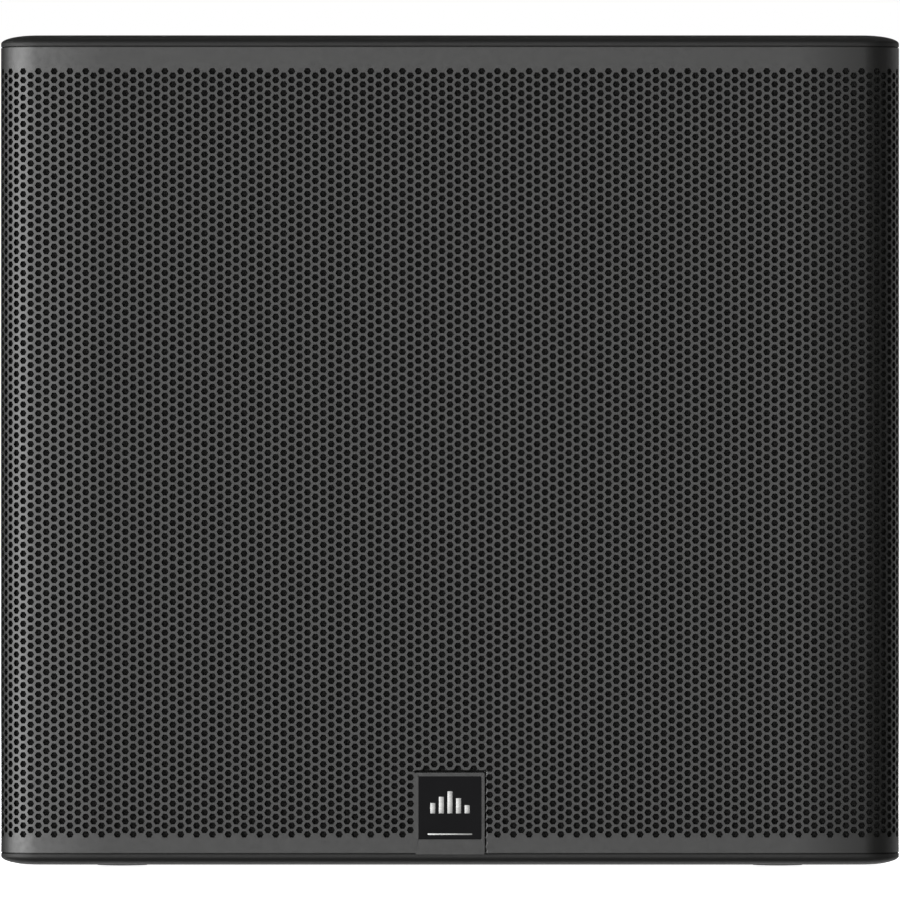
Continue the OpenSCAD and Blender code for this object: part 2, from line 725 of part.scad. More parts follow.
top_panel();
bottom_panel();
side_panel_L();
side_panel_R();
rear_panel();
front_baffle();
port_shelf();
port_divider();
brace_horizontal();
brace_vertical();
amp_frame();
damping_wadding();
grille();
grille_foam();
grille_screws();
badge_frame();
badge_insert();
driver_basket();
driver_gasket();
driver_bolts();
surround();
cone();
dust_cap();
spider();
voice_coil();
front_plate();
magnet_ring();
back_plate();
terminal_block();
driver_lead();
pole_cup();
pole_cup_screws();
handle_cup_L();
handle_cup_R();
handle_grip_L();
handle_grip_R();
handle_screws();
feet();
foot_screws();
amp_plate();
heatsink();
amp_chassis();
circuit_board();
board_components();
power_transformer();
amp_screws();
display_window();
status_leds();
input_sockets();
output_sockets();
mains_inlet();
switch_bezel();
encoder_shaft();
select_knob();
menu_button();
power_rocker();
latch_1();
latch_2();
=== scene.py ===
import json
import math

import bmesh
import bpy
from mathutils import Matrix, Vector, noise
from mathutils.geometry import tessellate_polygon


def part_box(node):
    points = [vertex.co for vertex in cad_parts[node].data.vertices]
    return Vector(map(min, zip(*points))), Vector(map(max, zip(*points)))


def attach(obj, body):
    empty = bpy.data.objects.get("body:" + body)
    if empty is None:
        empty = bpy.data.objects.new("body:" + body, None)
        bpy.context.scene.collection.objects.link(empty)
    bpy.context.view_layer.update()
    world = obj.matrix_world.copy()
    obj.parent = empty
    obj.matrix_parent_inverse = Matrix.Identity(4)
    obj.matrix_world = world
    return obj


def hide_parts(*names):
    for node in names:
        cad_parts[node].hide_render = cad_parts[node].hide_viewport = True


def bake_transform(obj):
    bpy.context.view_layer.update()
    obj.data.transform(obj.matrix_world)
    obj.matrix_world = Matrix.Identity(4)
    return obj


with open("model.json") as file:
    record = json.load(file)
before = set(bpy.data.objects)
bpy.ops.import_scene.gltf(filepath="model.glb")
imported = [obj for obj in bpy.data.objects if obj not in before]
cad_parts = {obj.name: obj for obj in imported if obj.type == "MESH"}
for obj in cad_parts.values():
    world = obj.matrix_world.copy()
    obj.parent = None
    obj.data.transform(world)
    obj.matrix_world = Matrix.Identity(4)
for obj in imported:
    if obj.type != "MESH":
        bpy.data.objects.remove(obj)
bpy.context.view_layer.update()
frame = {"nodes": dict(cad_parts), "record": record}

MM = 0.001

# ---------------------------------------------------------------- sizes

# Boxes of the CAD nodes, in metres
grille_lo, grille_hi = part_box("grille")
top_lo, top_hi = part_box("top_panel")
base_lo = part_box("bottom_panel")[0]
badge_lo, badge_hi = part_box("badge_frame")
insert_lo, insert_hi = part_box("badge_insert")

HALF_W = top_hi.x
FRONT_Y = grille_lo.y
BACK_Y = top_hi.y
FLANGE_Y = grille_hi.y

# Top and bottom panels: an upright edge, then an elliptical crown; the sheet sits in a rebate
REBATE = 2 * MM
CROWN_W = 25 * MM
CROWN_H = 6.1 * MM
EDGE_H = 2.4 * MM
REAR_R = 12 * MM
FLANGE_ROOM = 0.5 * MM
POLE_RECESS_R = 42 * MM
POLE_TUBE_R = 25 * MM
POLE_RECESS_DEPTH = 3 * MM

# The front corners start as a wide, faint curve and then turn tightly on to the sides
FAINT_START = HALF_W - 75 * MM
TIGHT_START = HALF_W - 25 * MM
FAINT_TILT = math.radians(6)
FAINT_R = (TIGHT_START - FAINT_START) / math.sin(FAINT_TILT)
TIGHT_R = (HALF_W - TIGHT_START) / (1 - math.sin(FAINT_TILT))
FAINT_END = FAINT_START + FAINT_R * FAINT_TILT
TIGHT_LEN = TIGHT_R * (math.pi / 2 - FAINT_TILT)

# Perforated sheet: hexagons on staggered upright columns
SHEET_T = 1.5 * MM
HOLE_ACROSS = 4.62 * MM
HEXAGON_R = HOLE_ACROSS / math.sqrt(3)
HOLE_PITCH = 6.332 * MM
COLUMN_STEP = 5.717 * MM
ROWS = 88
TOP_MARGIN = 17.4 * MM
SIDE_HOLES_END = 26 * MM
SCREW_Z = [z * MM for z in (60, 220, 386, 546)]
SCREW_SINK_R = 4.6 * MM

# Dark gaps in the sheet beside and above the badge
GAP_SIDE = 0.8 * MM
GAP_TOP = 1.3 * MM
GAP_UNDER = 0.2 * MM


# ---------------------------------------------------------------- helpers

def add_mesh(name, points, faces, sharp=35.0, merge=0.0):
    """A new object from points in metres and faces; edges sharper than the angle stay sharp."""
    mesh = bpy.data.meshes.new(name)
    mesh.from_pydata(points, [], faces)
    if merge:
        bm = bmesh.new()
        bm.from_mesh(mesh)
        bmesh.ops.remove_doubles(bm, verts=bm.verts, dist=merge)
        bmesh.ops.recalc_face_normals(bm, faces=bm.faces)
        bm.to_mesh(mesh)
        bm.free()
    mesh.validate()
    mesh.shade_smooth()
    mesh.set_sharp_from_angle(angle=math.radians(sharp))
    piece = bpy.data.objects.new(name, mesh)
    bpy.context.scene.collection.objects.link(piece)
    return piece


def dress(piece, material, body="cabinet", replaces=()):
    """Gives a new piece its material, hides the CAD nodes it replaces and hangs it under its body's
    empty.
    """
    piece.data.materials.clear()
    piece.data.materials.append(MATERIALS[material])
    if replaces:
        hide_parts(*replaces)
    if body:
        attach(piece, body)
    return piece


def loft(rings):
    """Faces between closed rings of equal length, as indices into the rings laid end to end."""
    n = len(rings[0])
    return [(i * n + k, i * n + (k + 1) % n, (i + 1) * n + (k + 1) % n, (i + 1) * n + k)
            for i in range(len(rings) - 1) for k in range(n)]


def turned(name, profile, centre):
    """A ring-shaped solid about the Y axis from a closed profile of (radius, y) in metres."""
    n, steps, sharp = len(profile), 128, 40.0
    points, faces = [], []
    for i in range(steps):
        a = 2 * math.pi * i / steps
        points += [(centre[0] + r * math.cos(a), centre[1] + y, centre[2] + r * math.sin(a))
                   for r, y in profile]
    for i in range(steps):
        j = (i + 1) % steps
        faces += [(i * n + k, i * n + (k + 1) % n, j * n + (k + 1) % n, j * n + k)
                  for k in range(n)]
    return add_mesh(name, points, faces, sharp, merge=1e-7)


# ---------------------------------------------------------------- node trees

class Tree:
    """A short way to write a node tree."""

    def __init__(self, tree):
        self.tree = tree

    def add(self, kind, inputs=None, **settings):
        node = self.tree.nodes.new(kind)
        for key, value in settings.items():
            setattr(node, key, value)
        for key, value in (inputs or {}).items():
            self.put(node.inputs[key], value)
        return node

    def put(self, socket, value):
        """Links an output to the socket, or sets its value."""
        if isinstance(value, bpy.types.NodeSocket):
            self.tree.links.new(value, socket)
        else:
            socket.default_value = value

    def math(self, operation, a, b=0.0):
        node = self.add("ShaderNodeMath", operation=operation)
        self.put(node.inputs[0], a)
        self.put(node.inputs[1], b)
        return node.outputs[0]

    def fade(self, value, start, end, low, high):
        """Goes smoothly from low to high while the value goes from start to end."""
        node = self.add("ShaderNodeMapRange", {"Value": value, "From Min": start, "From Max": end,
                                               "To Min": low, "To Max": high},
                        interpolation_type="SMOOTHSTEP")
        return node.outputs["Result"]


class Nodes(Tree):
    """The node tree of a new material with a Principled shader."""

    def __init__(self, name):
        self.material = bpy.data.materials.new(name)
        self.material.use_nodes = True
        super().__init__(self.material.node_tree)
        self.shader = self.tree.nodes["Principled BSDF"]
        self.where = self.add("ShaderNodeTexCoord").outputs["Object"]

    def set(self, **values):
        """Puts values or outputs on the shader's own sockets."""
        for key, value in values.items():
            self.put(self.shader.inputs[key.replace("_", " ")], value)

    def noise(self, scale, detail=2.0, rough=0.5, where=None):
        node = self.add("ShaderNodeTexNoise", {"Vector": where or self.where, "Scale": scale,
                                               "Detail": detail, "Roughness": rough})
        return node.outputs["Fac"]

    def cells(self, scale, feature="F1"):
        node = self.add("ShaderNodeTexVoronoi", {"Vector": self.where, "Scale": scale},
                        feature=feature)
        return node.outputs["Distance"]

    def stretch(self, x, y, z):
        """Object coordinates scaled by axis, to draw a texture out in one direction."""
        node = self.add("ShaderNodeMapping", {"Vector": self.where, "Scale": (x, y, z)})
        return node.outputs["Vector"]

    def span(self, value, low, high, start=0.3, end=0.7):
        """Maps the usual middle stretch of a texture on to low..high."""
        node = self.add("ShaderNodeMapRange", {"Value": value, "From Min": start,
                                               "From Max": end, "To Min": low, "To Max": high})
        return node.outputs["Result"]

    def mix(self, factor, a, b):
        node = self.add("ShaderNodeMix", data_type="RGBA")
        self.put(node.inputs["Factor"], factor)
        self.put(node.inputs["A"], (*a, 1) if isinstance(a, tuple) else a)
        self.put(node.inputs["B"], (*b, 1) if isinstance(b, tuple) else b)
        return node.outputs["Result"]

    def bump(self, height, distance, strength=1.0):
        node = self.add("ShaderNodeBump", {"Height": height, "Distance": distance,
                                           "Strength": strength})
        return node.outputs["Normal"]


# ---------------------------------------------------------------- materials

def tint(colour, factor):
    """The colour made lighter or darker."""
    return tuple(c * factor for c in colour)


def textured(name, colour, rough=(0.4, 0.5), metal=0.0, grain=900, depth=0.05, vary=0.2,
             blotch=6, coat=0.0, specular=0.5):
    """Painted, moulded or cast surface: fine bumps, faint colour blotches, uneven gloss."""
    m = Nodes(name)
    patches = m.noise(blotch, 4)
    fine = m.noise(grain, 3, 0.6)
    m.set(Base_Color=m.mix(patches, tint(colour, 1 - vary), tint(colour, 1 + vary)),
          Roughness=m.span(m.noise(blotch * 7, 3), *rough), Metallic=metal,
          Normal=m.bump(fine, depth * MM))
    m.set(Coat_Weight=coat, Coat_Roughness=0.03, Specular_IOR_Level=specular)
    return m.material


def painted_ply():
    """Black textured paint: rounded droplets over a finer grain."""
    m = Nodes("painted_ply")
    droplets = m.cells(620, feature="SMOOTH_F1")
    grain = m.noise(1500, 3, 0.6)
    height = m.math("ADD", m.math("MULTIPLY", droplets, -1.0), m.math("MULTIPLY", grain, 0.4))
    m.set(Base_Color=m.mix(m.noise(5, 5), (0.0052, 0.0052, 0.005), (0.0064, 0.0064, 0.0062)),
          Roughness=m.span(m.noise(420, 3), 0.48, 0.56), Specular_IOR_Level=0.36,
          Normal=m.bump(height, 0.09 * MM, 0.8))
    return m.material


def powder_coat():
    """Satin powder coat on the grille: an even fine orange peel."""
    m = Nodes("grille_steel")
    peel = m.noise(950, 2, 0.55)
    m.set(Base_Color=m.mix(m.noise(14, 4), (0.0045, 0.0045, 0.0041), (0.0065, 0.0065, 0.0060)),
          Roughness=m.span(m.noise(260, 3), 0.30, 0.38), Normal=m.bump(peel, 0.045 * MM, 0.8))
    return m.material


def raw_ply():
    """Bare birch plywood: long grain with faint streaks."""
    m = Nodes("raw_ply")
    along = m.stretch(0.08, 1.0, 1.0)
    streaks = m.noise(160, 6, 0.65, along)
    colour = m.mix(m.span(streaks, 0, 1), (0.30, 0.19, 0.10), (0.52, 0.37, 0.21))
    m.set(Base_Color=colour, Roughness=m.span(streaks, 0.55, 0.75),
          Normal=m.bump(streaks, 0.12 * MM))
    return m.material


def foam(name, colour, cell, depth, rough=0.95):
    """Open-cell foam: pits between thin walls."""
    m = Nodes(name)
    pits = m.cells(cell)
    m.set(Base_Color=m.mix(pits, tint(colour, 1.5), tint(colour, 0.35)), Roughness=rough,
          Specular_IOR_Level=0.04, Normal=m.bump(pits, depth * MM))
    return m.material


def fibre(name, colour, scale, depth, sheen=0.3):
    """Matted fibres: stretched noise in two directions."""
    m = Nodes(name)
    one = m.noise(scale, 6, 0.7, m.stretch(0.25, 1, 1))
    two = m.noise(scale * 1.3, 6, 0.7, m.stretch(1, 1, 0.25))
    both = m.math("MULTIPLY", one, two)
    m.set(Base_Color=m.mix(m.span(both, 0, 1, 0.12, 0.4), tint(colour, 0.6), tint(colour, 1.3)),
          Roughness=0.9, Sheen_Weight=sheen, Normal=m.bump(both, depth * MM))
    return m.material


def woven(name, colour, thread, depth, rough):
    """Treated cloth: threads over and under in two directions round the driver's axis."""
    m = Nodes(name)
    warp = m.add("ShaderNodeTexWave", {"Vector": m.where, "Scale": thread},
                 bands_direction="X").outputs["Fac"]
    weft = m.add("ShaderNodeTexWave", {"Vector": m.where, "Scale": thread},
                 bands_direction="Z").outputs["Fac"]
    cloth = m.math("MAXIMUM", warp, weft)
    m.set(Base_Color=m.mix(cloth, tint(colour, 0.55), tint(colour, 1.25)),
          Roughness=m.span(m.noise(40), rough - 0.08, rough + 0.08),
          Normal=m.bump(cloth, depth * MM))
    return m.material


def brushed(name, colour, rough, direction=(1, 1, 0.03), scale=2200):
    """Plated or brushed metal with fine lines along one direction."""
    m = Nodes(name)
    lines = m.noise(scale, 3, 0.6, m.stretch(*direction))
    m.set(Base_Color=m.mix(m.noise(25, 3), tint(colour, 0.85), tint(colour, 1.1)), Metallic=1.0,
          Roughness=m.span(lines, rough - 0.08, rough + 0.1), Normal=m.bump(lines, 0.01 * MM))
    return m.material


def circuit():
    """Green solder mask with a pattern of tracks."""
    m = Nodes("board_green")
    tracks = m.add("ShaderNodeTexBrick", {"Vector": m.where, "Scale": 60.0, "Mortar Size": 0.012,
                                          "Brick Width": 0.9, "Row Height": 0.22})
    m.set(Base_Color=m.mix(tracks.outputs["Fac"], (0.008, 0.085, 0.03), (0.03, 0.2, 0.07)),
          Roughness=m.span(m.noise(80), 0.25, 0.35),
          Normal=m.bump(tracks.outputs["Fac"], 0.03 * MM))
    return m.material


MATERIALS = {
    "painted_ply": painted_ply(),
    "raw_ply": raw_ply(),
    "grille_steel": powder_coat(),
    "badge_gloss": textured("badge_gloss", (0.0045, 0.0045, 0.005), (0.42, 0.5), grain=1800,
                            depth=0.02, specular=0.05),
    "open_foam": foam("open_foam", (0.013, 0.013, 0.0125), 900, 0.8),
    "wadding": fibre("wadding", (0.6, 0.57, 0.5), 140, 1.5),
    "cast_frame": textured("cast_frame", (0.022, 0.022, 0.024), (0.4, 0.55), grain=420,
                           depth=0.12),
    "zinc_steel": brushed("zinc_steel", (0.56, 0.55, 0.52), 0.3),
    "black_steel": textured("black_steel", (0.016, 0.016, 0.017), (0.28, 0.4), metal=0.6,
                            grain=1600, depth=0.02),
    "ferrite": textured("ferrite", (0.035, 0.035, 0.037), (0.5, 0.65), grain=700, depth=0.08),
    "cone_paper": fibre("cone_paper", (0.028, 0.028, 0.029), 260, 0.3, 0.1),
    "surround_cloth": woven("surround_cloth", (0.016, 0.016, 0.016), 420, 0.12, 0.55),
    "spider_cloth": woven("spider_cloth", (0.42, 0.24, 0.08), 480, 0.15, 0.6),
    "coil_copper": brushed("coil_copper", (0.70, 0.32, 0.16), 0.28, (1, 0.02, 1), 3000),
    "black_plastic": textured("black_plastic", (0.0095, 0.0095, 0.0098), (0.42, 0.52),
                              grain=1300, depth=0.05, vary=0.1, specular=0.4),
    "grey_plastic": textured("grey_plastic", (0.024, 0.024, 0.025), (0.4, 0.5), grain=1300,
                             depth=0.04),
    "black_rubber": textured("black_rubber", (0.013, 0.013, 0.013), (0.62, 0.8), grain=800,
                             depth=0.08),
    "terminal_red": textured("terminal_red", (0.28, 0.018, 0.015), (0.35, 0.45), grain=1200,
                             depth=0.03),
    "lead_black": woven("lead_black", (0.012, 0.012, 0.012), 900, 0.15, 0.6),
    "board_green": circuit(),
    "board_parts": textured("board_parts", (0.02, 0.03, 0.06), (0.25, 0.4), grain=500,
                            depth=0.03, vary=0.5, blotch=30),
    "winding": brushed("winding", (0.68, 0.36, 0.12), 0.35, (1, 0.05, 1), 900),
    "amp_black": textured("amp_black", (0.0095, 0.0095, 0.01), (0.4, 0.48), grain=1100,
                          depth=0.06, vary=0.1, specular=0.35),
    "fin_black": textured("fin_black", (0.02, 0.02, 0.021), (0.3, 0.42), metal=0.7, grain=1500,
                          depth=0.02),
    "tray_steel": brushed("tray_steel", (0.5, 0.5, 0.49), 0.35),
    "window_black": textured("window_black", (0.003, 0.0035, 0.005), (0.1, 0.16), grain=200,
                             depth=0.002, specular=0.3),
    "led_green": textured("led_green", (0.04, 0.35, 0.08), (0.12, 0.2), grain=300, depth=0.005,
                          coat=0.6),
    "emblem": brushed("emblem", (0.31, 0.31, 0.305), 0.3, (0.03, 1, 1), 2600),
}


# ---------------------------------------------------------------- camera, light and floor

# Width of the view in metres, the camera's distance from it, and the sensor's width in mm
VIEW_WIDTH = 0.6512
CAMERA_AWAY = 10.5
SENSOR = 36.0


def camera():
    """A long lens, square on to the middle of the front."""
    data = bpy.data.cameras.new("camera")
    data.sensor_width = SENSOR
    data.lens = SENSOR * CAMERA_AWAY / VIEW_WIDTH
    data.clip_end = 200
    eye = bpy.data.objects.new("camera", data)
    eye.location = (0, FRONT_Y + CROWN_W - CAMERA_AWAY, (top_hi.z + base_lo.z) / 2)
    eye.rotation_euler = (math.pi / 2, 0, 0)
    bpy.context.scene.collection.objects.link(eye)
    bpy.context.scene.camera = eye


# Studio brightness round the object: (degrees to the right of the camera, brightness up to
# STUDIO_PEAK), the share of it that is left overhead and low down, and a glow from low behind
STUDIO = [(-180, 0.1), (-152, 0.1), (-132, 0.1), (-112, 0.9), (-95, 3.4), (-78, 6.6),
          (-60, 8.8), (-42, 8.4), (-25, 6.3), (-12, 4.5), (-4, 3.0), (1, 2.2), (7, 1.35),
          (13, 0.62), (24, 0.3), (42, 0.15), (70, 0.12), (95, 0.3), (115, 0.5), (135, 0.4),
          (155, 0.25), (180, 0.1)]
STUDIO_PEAK = 10.0
STUDIO_GAIN = 1.12
OVERHEAD = 0.1
LOW_DOWN = 0.08
BEHIND_GLOW = 1.6

# Soft lights behind the object
REAR_LIGHT_POWER = 420
REAR_LIGHT_SIZE = 3.0
REAR_LIGHT_PLACE = (1.7, 2.2, 2.9)
REAR_LIGHT_AIM = (0, 0, 0.3)


def studio_ramp(nodes, axes):
    """Brightness by compass direction; the middle of the ramp lies behind the camera."""
    turn = nodes.math("ARCTAN2", axes["X"], nodes.math("MULTIPLY", axes["Y"], -1.0))
    place = nodes.math("ADD", nodes.math("DIVIDE", turn, 2 * math.pi), 0.5)
    ramp = nodes.add("ShaderNodeValToRGB", {"Fac": place})
    ramp.color_ramp.interpolation = "B_SPLINE"
    stops = ramp.color_ramp.elements
    while len(stops) < len(STUDIO):
        stops.new(0.5)
    for stop, (degrees, level) in zip(stops, STUDIO):
        stop.position = degrees / 360 + 0.5
        stop.color = (*[level / STUDIO_PEAK] * 3, 1)
    return ramp.outputs["Color"]


def studio_shader(nodes):
    """Light by direction: the ramp in a level band round the object, and a glow low behind it."""
    coords = nodes.add("ShaderNodeTexCoord").outputs["Generated"]
    axes = nodes.add("ShaderNodeSeparateXYZ", {"Vector": coords}).outputs
    band = nodes.math("MULTIPLY", nodes.fade(axes["Z"], 0.1, 0.36, 1.0, OVERHEAD),
                      nodes.fade(axes["Z"], -0.34, -0.1, LOW_DOWN, 1.0))
    below = nodes.math("MULTIPLY", nodes.fade(axes["Z"], -0.35, -0.05, 1.0, 0.0),
                       nodes.fade(axes["Z"], -0.8, -0.35, 0.0, 1.0))
    glow = nodes.math("MULTIPLY", below, nodes.fade(axes["Y"], 0.4, 0.95, 0.0, BEHIND_GLOW))
    strength = nodes.math("MULTIPLY", band, STUDIO_PEAK * STUDIO_GAIN)
    lit = nodes.add("ShaderNodeBackground", {"Color": studio_ramp(nodes, axes),
                                             "Strength": strength})
    back = nodes.add("ShaderNodeBackground", {"Strength": glow})
    both = nodes.add("ShaderNodeAddShader", {0: lit.outputs[0], 1: back.outputs[0]})
    return both.outputs[0]


def studio_light():
    """World light that depends on direction: bright on the left, dim on the right and above.
    Seen straight through the camera it is plain white."""
    world = bpy.data.worlds.new("studio")
    bpy.context.scene.world = world
    world.use_nodes = True
    world.node_tree.nodes.clear()
    nodes = Tree(world.node_tree)
    plain = nodes.add("ShaderNodeBackground", {"Color": (1, 1, 1, 1)})
    seen = nodes.add("ShaderNodeLightPath").outputs["Is Camera Ray"]
    mixed = nodes.add("ShaderNodeMixShader", {0: seen, 1: studio_shader(nodes),
                                              2: plain.outputs[0]})
    nodes.add("ShaderNodeOutputWorld", {"Surface": mixed.outputs[0]})


def rear_lights():
    """Two large soft lights, high behind the object on both sides, for its back and its top."""
    for side in (-1, 1):
        data = bpy.data.lights.new("rear_light", "AREA")
        data.energy = REAR_LIGHT_POWER
        data.shape = "SQUARE"
        data.size = REAR_LIGHT_SIZE
        lamp = bpy.data.objects.new("rear_light", data)
        x, y, z = REAR_LIGHT_PLACE
        lamp.location = (side * x, y, z)
        toward = Vector(REAR_LIGHT_AIM) - lamp.location
        lamp.rotation_euler = toward.to_track_quat("-Z", "Y").to_euler()
        lamp.visible_camera = False
        lamp.visible_glossy = False
        bpy.context.scene.collection.objects.link(lamp)


def studio_floor():
    """A plain pale floor."""
    half = 30.0
    floor = add_mesh("studio_floor", [(-half, -half, 0), (half, -half, 0), (half, half, 0),
                                      (-half, half, 0)], [(0, 1, 2, 3)])
    m = Nodes("studio_floor")
    m.set(Base_Color=m.mix(m.noise(3), (0.48, 0.48, 0.48), (0.5, 0.5, 0.5)), Roughness=0.8,
          Emission_Color=(1, 1, 1, 1), Emission_Strength=1.0, Specular_IOR_Level=0.1)
    floor.data.materials.append(m.material)
    floor.visible_glossy = False


# ---------------------------------------------------------------- panels

def front_path(inset, n_faint=8, n_tight=18):
    """Half of the plan outline, from the middle of the front to the grille flange's end."""
    faint = Vector((FAINT_START, FRONT_Y + FAINT_R))
    tight = faint + (FAINT_R - TIGHT_R) * Vector((math.sin(FAINT_TILT), -math.cos(FAINT_TILT)))
    points = [Vector((0, FRONT_Y + inset))]
    for k in range(n_faint):
        a = FAINT_TILT * k / n_faint
        points.append(faint + (FAINT_R - inset) * Vector((math.sin(a), -math.cos(a))))
    for k in range(n_tight + 1):
        a = FAINT_TILT + (math.pi / 2 - FAINT_TILT) * k / n_tight
        points.append(tight + (TIGHT_R - inset) * Vector((math.sin(a), -math.cos(a))))
    points.append(Vector((HALF_W - inset, FLANGE_Y + FLANGE_ROOM)))
    return points


def rear_path(inset, n=12):
    """Half of the plan outline, from the grille flange's end to the middle of the back."""
    r = max(REAR_R - inset, 1 * MM)
    centre = Vector((HALF_W - inset - r, BACK_Y - inset - r))
    points = [Vector((HALF_W - inset, FLANGE_Y + FLANGE_ROOM))]
    for k in range(n + 1):
        a = math.pi / 2 * k / n
        points.append(centre + r * Vector((math.cos(a), math.sin(a))))
    return points + [Vector((0, BACK_Y - inset))]


def outline(front_inset, rear_inset=None):
    """The whole plan outline, drawn in by a step at the front and another at the back."""
    rear_inset = front_inset if rear_inset is None else rear_inset
    half = front_path(front_inset) + rear_path(rear_inset)
    return half + [Vector((-p.x, p.y)) for p in reversed(half[1:-1])]


def circle(radius, n=96):
    """Points round a circle about the origin."""
    return [Vector((radius * math.cos(2 * math.pi * k / n), radius * math.sin(2 * math.pi * k / n)))
            for k in range(n)]


def capped(points, faces, outer, inner, height):
    """Adds a flat cap between an outer loop and an inner hole, which may be empty."""
    start = len(points)
    loop = [Vector((*p, height)) for p in outer]
    hole = [Vector((*p, height)) for p in inner]
    points += [tuple(p) for p in loop + hole]
    loops = [loop, hole] if hole else [loop]
    faces += [tuple(start + i for i in tri) for tri in tessellate_polygon(loops)]


def crowned_panel(name, node, upper):
    """Plate with a rebate for the grille, a lip and a smooth elliptical crown."""
    lo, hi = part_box(node)
    inner_z, outer_z = (lo.z, hi.z) if upper else (hi.z, lo.z)
    out = 1 if upper else -1
    lip_z = outer_z - out * (CROWN_H + EDGE_H)
    soften = 0.4 * MM
    levels = [(outline(REBATE, 0), inner_z), (outline(REBATE, 0), lip_z),
              (outline(soften), lip_z), (outline(0), lip_z + out * soften),
              (outline(0), lip_z + out * EDGE_H)]
    crown_steps = 14
    for k in range(1, crown_steps + 1):
        a = math.pi / 2 * k / crown_steps
        levels.append((outline(CROWN_W * (1 - math.cos(a))),
                       lip_z + out * (EDGE_H + CROWN_H * math.sin(a))))
    points = [(p.x, p.y, z) for ring, z in levels for p in ring]
    faces = loft([ring for ring, z in levels])
    if upper:
        recess, tube = circle(POLE_RECESS_R), circle(POLE_TUBE_R)
        rings = [(recess, outer_z), (recess, outer_z - POLE_RECESS_DEPTH),
                 (tube, outer_z - POLE_RECESS_DEPTH), (tube, inner_z)]
        capped(points, faces, levels[-1][0], rings[0][0], outer_z)
        capped(points, faces, levels[0][0], rings[-1][0], inner_z)
        start = len(points)
        points += [(p.x, p.y, z) for ring, z in rings for p in ring]
        faces += [tuple(start + i for i in face) for face in loft([r for r, z in rings])]
    else:
        capped(points, faces, levels[-1][0], [], outer_z)
        capped(points, faces, levels[0][0], [], inner_z)
    return dress(add_mesh(name, points, faces, 30, merge=2e-6), "painted_ply", replaces=[node])


# ---------------------------------------------------------------- grille

def sheet_point(s, z, depth):
    """A point of the bent sheet: s runs along its face from the middle, depth goes inwards."""
    side = -1 if s < 0 else 1
    run = abs(s)
    if run <= FAINT_START:
        x, y = run, FRONT_Y + depth
    elif run <= FAINT_END:
        a = (run - FAINT_START) / FAINT_R
        x = FAINT_START + (FAINT_R - depth) * math.sin(a)
        y = FRONT_Y + FAINT_R - (FAINT_R - depth) * math.cos(a)
    else:
        cx = FAINT_START + (FAINT_R - TIGHT_R) * math.sin(FAINT_TILT)
        cy = FRONT_Y + FAINT_R - (FAINT_R - TIGHT_R) * math.cos(FAINT_TILT)
        past = run - FAINT_END
        if past <= TIGHT_LEN:
            a = FAINT_TILT + past / TIGHT_R
            x, y = cx + (TIGHT_R - depth) * math.sin(a), cy - (TIGHT_R - depth) * math.cos(a)
        else:
            x, y = HALF_W - depth, cy + past - TIGHT_LEN
    return (side * x, y, z)


def sheet_length():
    """Half the sheet's developed length, from the middle to the flange's end."""
    corner_end = sheet_point(FAINT_END + TIGHT_LEN, 0, 0)
    return FAINT_END + TIGHT_LEN + FLANGE_Y - corner_end[1]


def has_hole(column, row):
    """Whether this place of the lattice is punched."""
    rows = ROWS - column % 2
    s = column * COLUMN_STEP
    z = row_height(column, row)
    holes_end = FAINT_END + TIGHT_LEN + SIDE_HOLES_END
    under_badge = abs(s) < badge_hi.x + HEXAGON_R and z < badge_hi.z + HOLE_ACROSS / 2
    return 0 <= row < rows and abs(s) < holes_end and not under_badge


def row_height(column, row):
    """Height of a lattice place; odd columns sit half a pitch lower."""
    return grille_hi.z - TOP_MARGIN - (row + (0.5 if column % 2 else 0)) * HOLE_PITCH


class Layout:
    """Points (s, z) and faces of a flat layout, cut off at the sheet's edges."""

    def __init__(self):
        self.places = []
        self.faces = []
        self.seen = {}
        self.s_end = sheet_length()

    def vertex(self, column, row, k):
        """Corner k of the hexagon at this place of the lattice."""
        a = math.radians(60 * (k % 6))
        s = column * COLUMN_STEP + HEXAGON_R * math.cos(a)
        z = row_height(column, row) + HEXAGON_R * math.sin(a)
        key = (round(min(max(s, -self.s_end), self.s_end), 7),
               round(min(max(z, grille_lo.z), grille_hi.z), 7))
        if key not in self.seen:
            self.seen[key] = len(self.places)
            self.places.append(key)
        return self.seen[key]

    def face(self, *corners):
        """Adds a face unless the sheet's edge has left nothing of it."""
        tiny = 1e-7
        ring = [v for i, v in enumerate(corners) if v != corners[i - 1]]
        if len(set(ring)) > 2:
            ss, zs = zip(*(self.places[v] for v in ring))
            if max(zs) - min(zs) > tiny and max(ss) - min(ss) > tiny:
                self.faces.append(ring)


def perforated(first, last):
    """The layout of the columns first..last.

    Every lattice place holds a hexagon. Webs join the facing sides of neighbours and small
    triangles close the corners; where there is no hole the hexagon is a face too.
    """
    layout = Layout()
    vertex, face = layout.vertex, layout.face
    spare_rows = 3
    for column in range(first, last + 1):
        down = 1 if column % 2 else 0
        for row in range(-spare_rows, ROWS + spare_rows):
            if column > first or first < 0:
                if not has_hole(column, row):
                    face(*[vertex(column, row, k) for k in range(6)])
                face(vertex(column, row, 5), vertex(column, row, 4), vertex(column, row + 1, 2),
                     vertex(column, row + 1, 1))
            if column == last:
                continue
            beside = column + 1
            up_right, low_right = row - 1 + down, row + down
            face(vertex(column, row, 1), vertex(column, row, 0), vertex(beside, up_right, 4),
                 vertex(beside, up_right, 3))
            face(vertex(column, row, 0), vertex(column, row, 5), vertex(beside, low_right, 3),
                 vertex(beside, low_right, 2))
            face(vertex(column, row, 0), vertex(beside, low_right, 2),
                 vertex(beside, up_right, 4))
            face(vertex(column, row, 5), vertex(column, row + 1, 1),
                 vertex(beside, low_right, 3))
    return layout


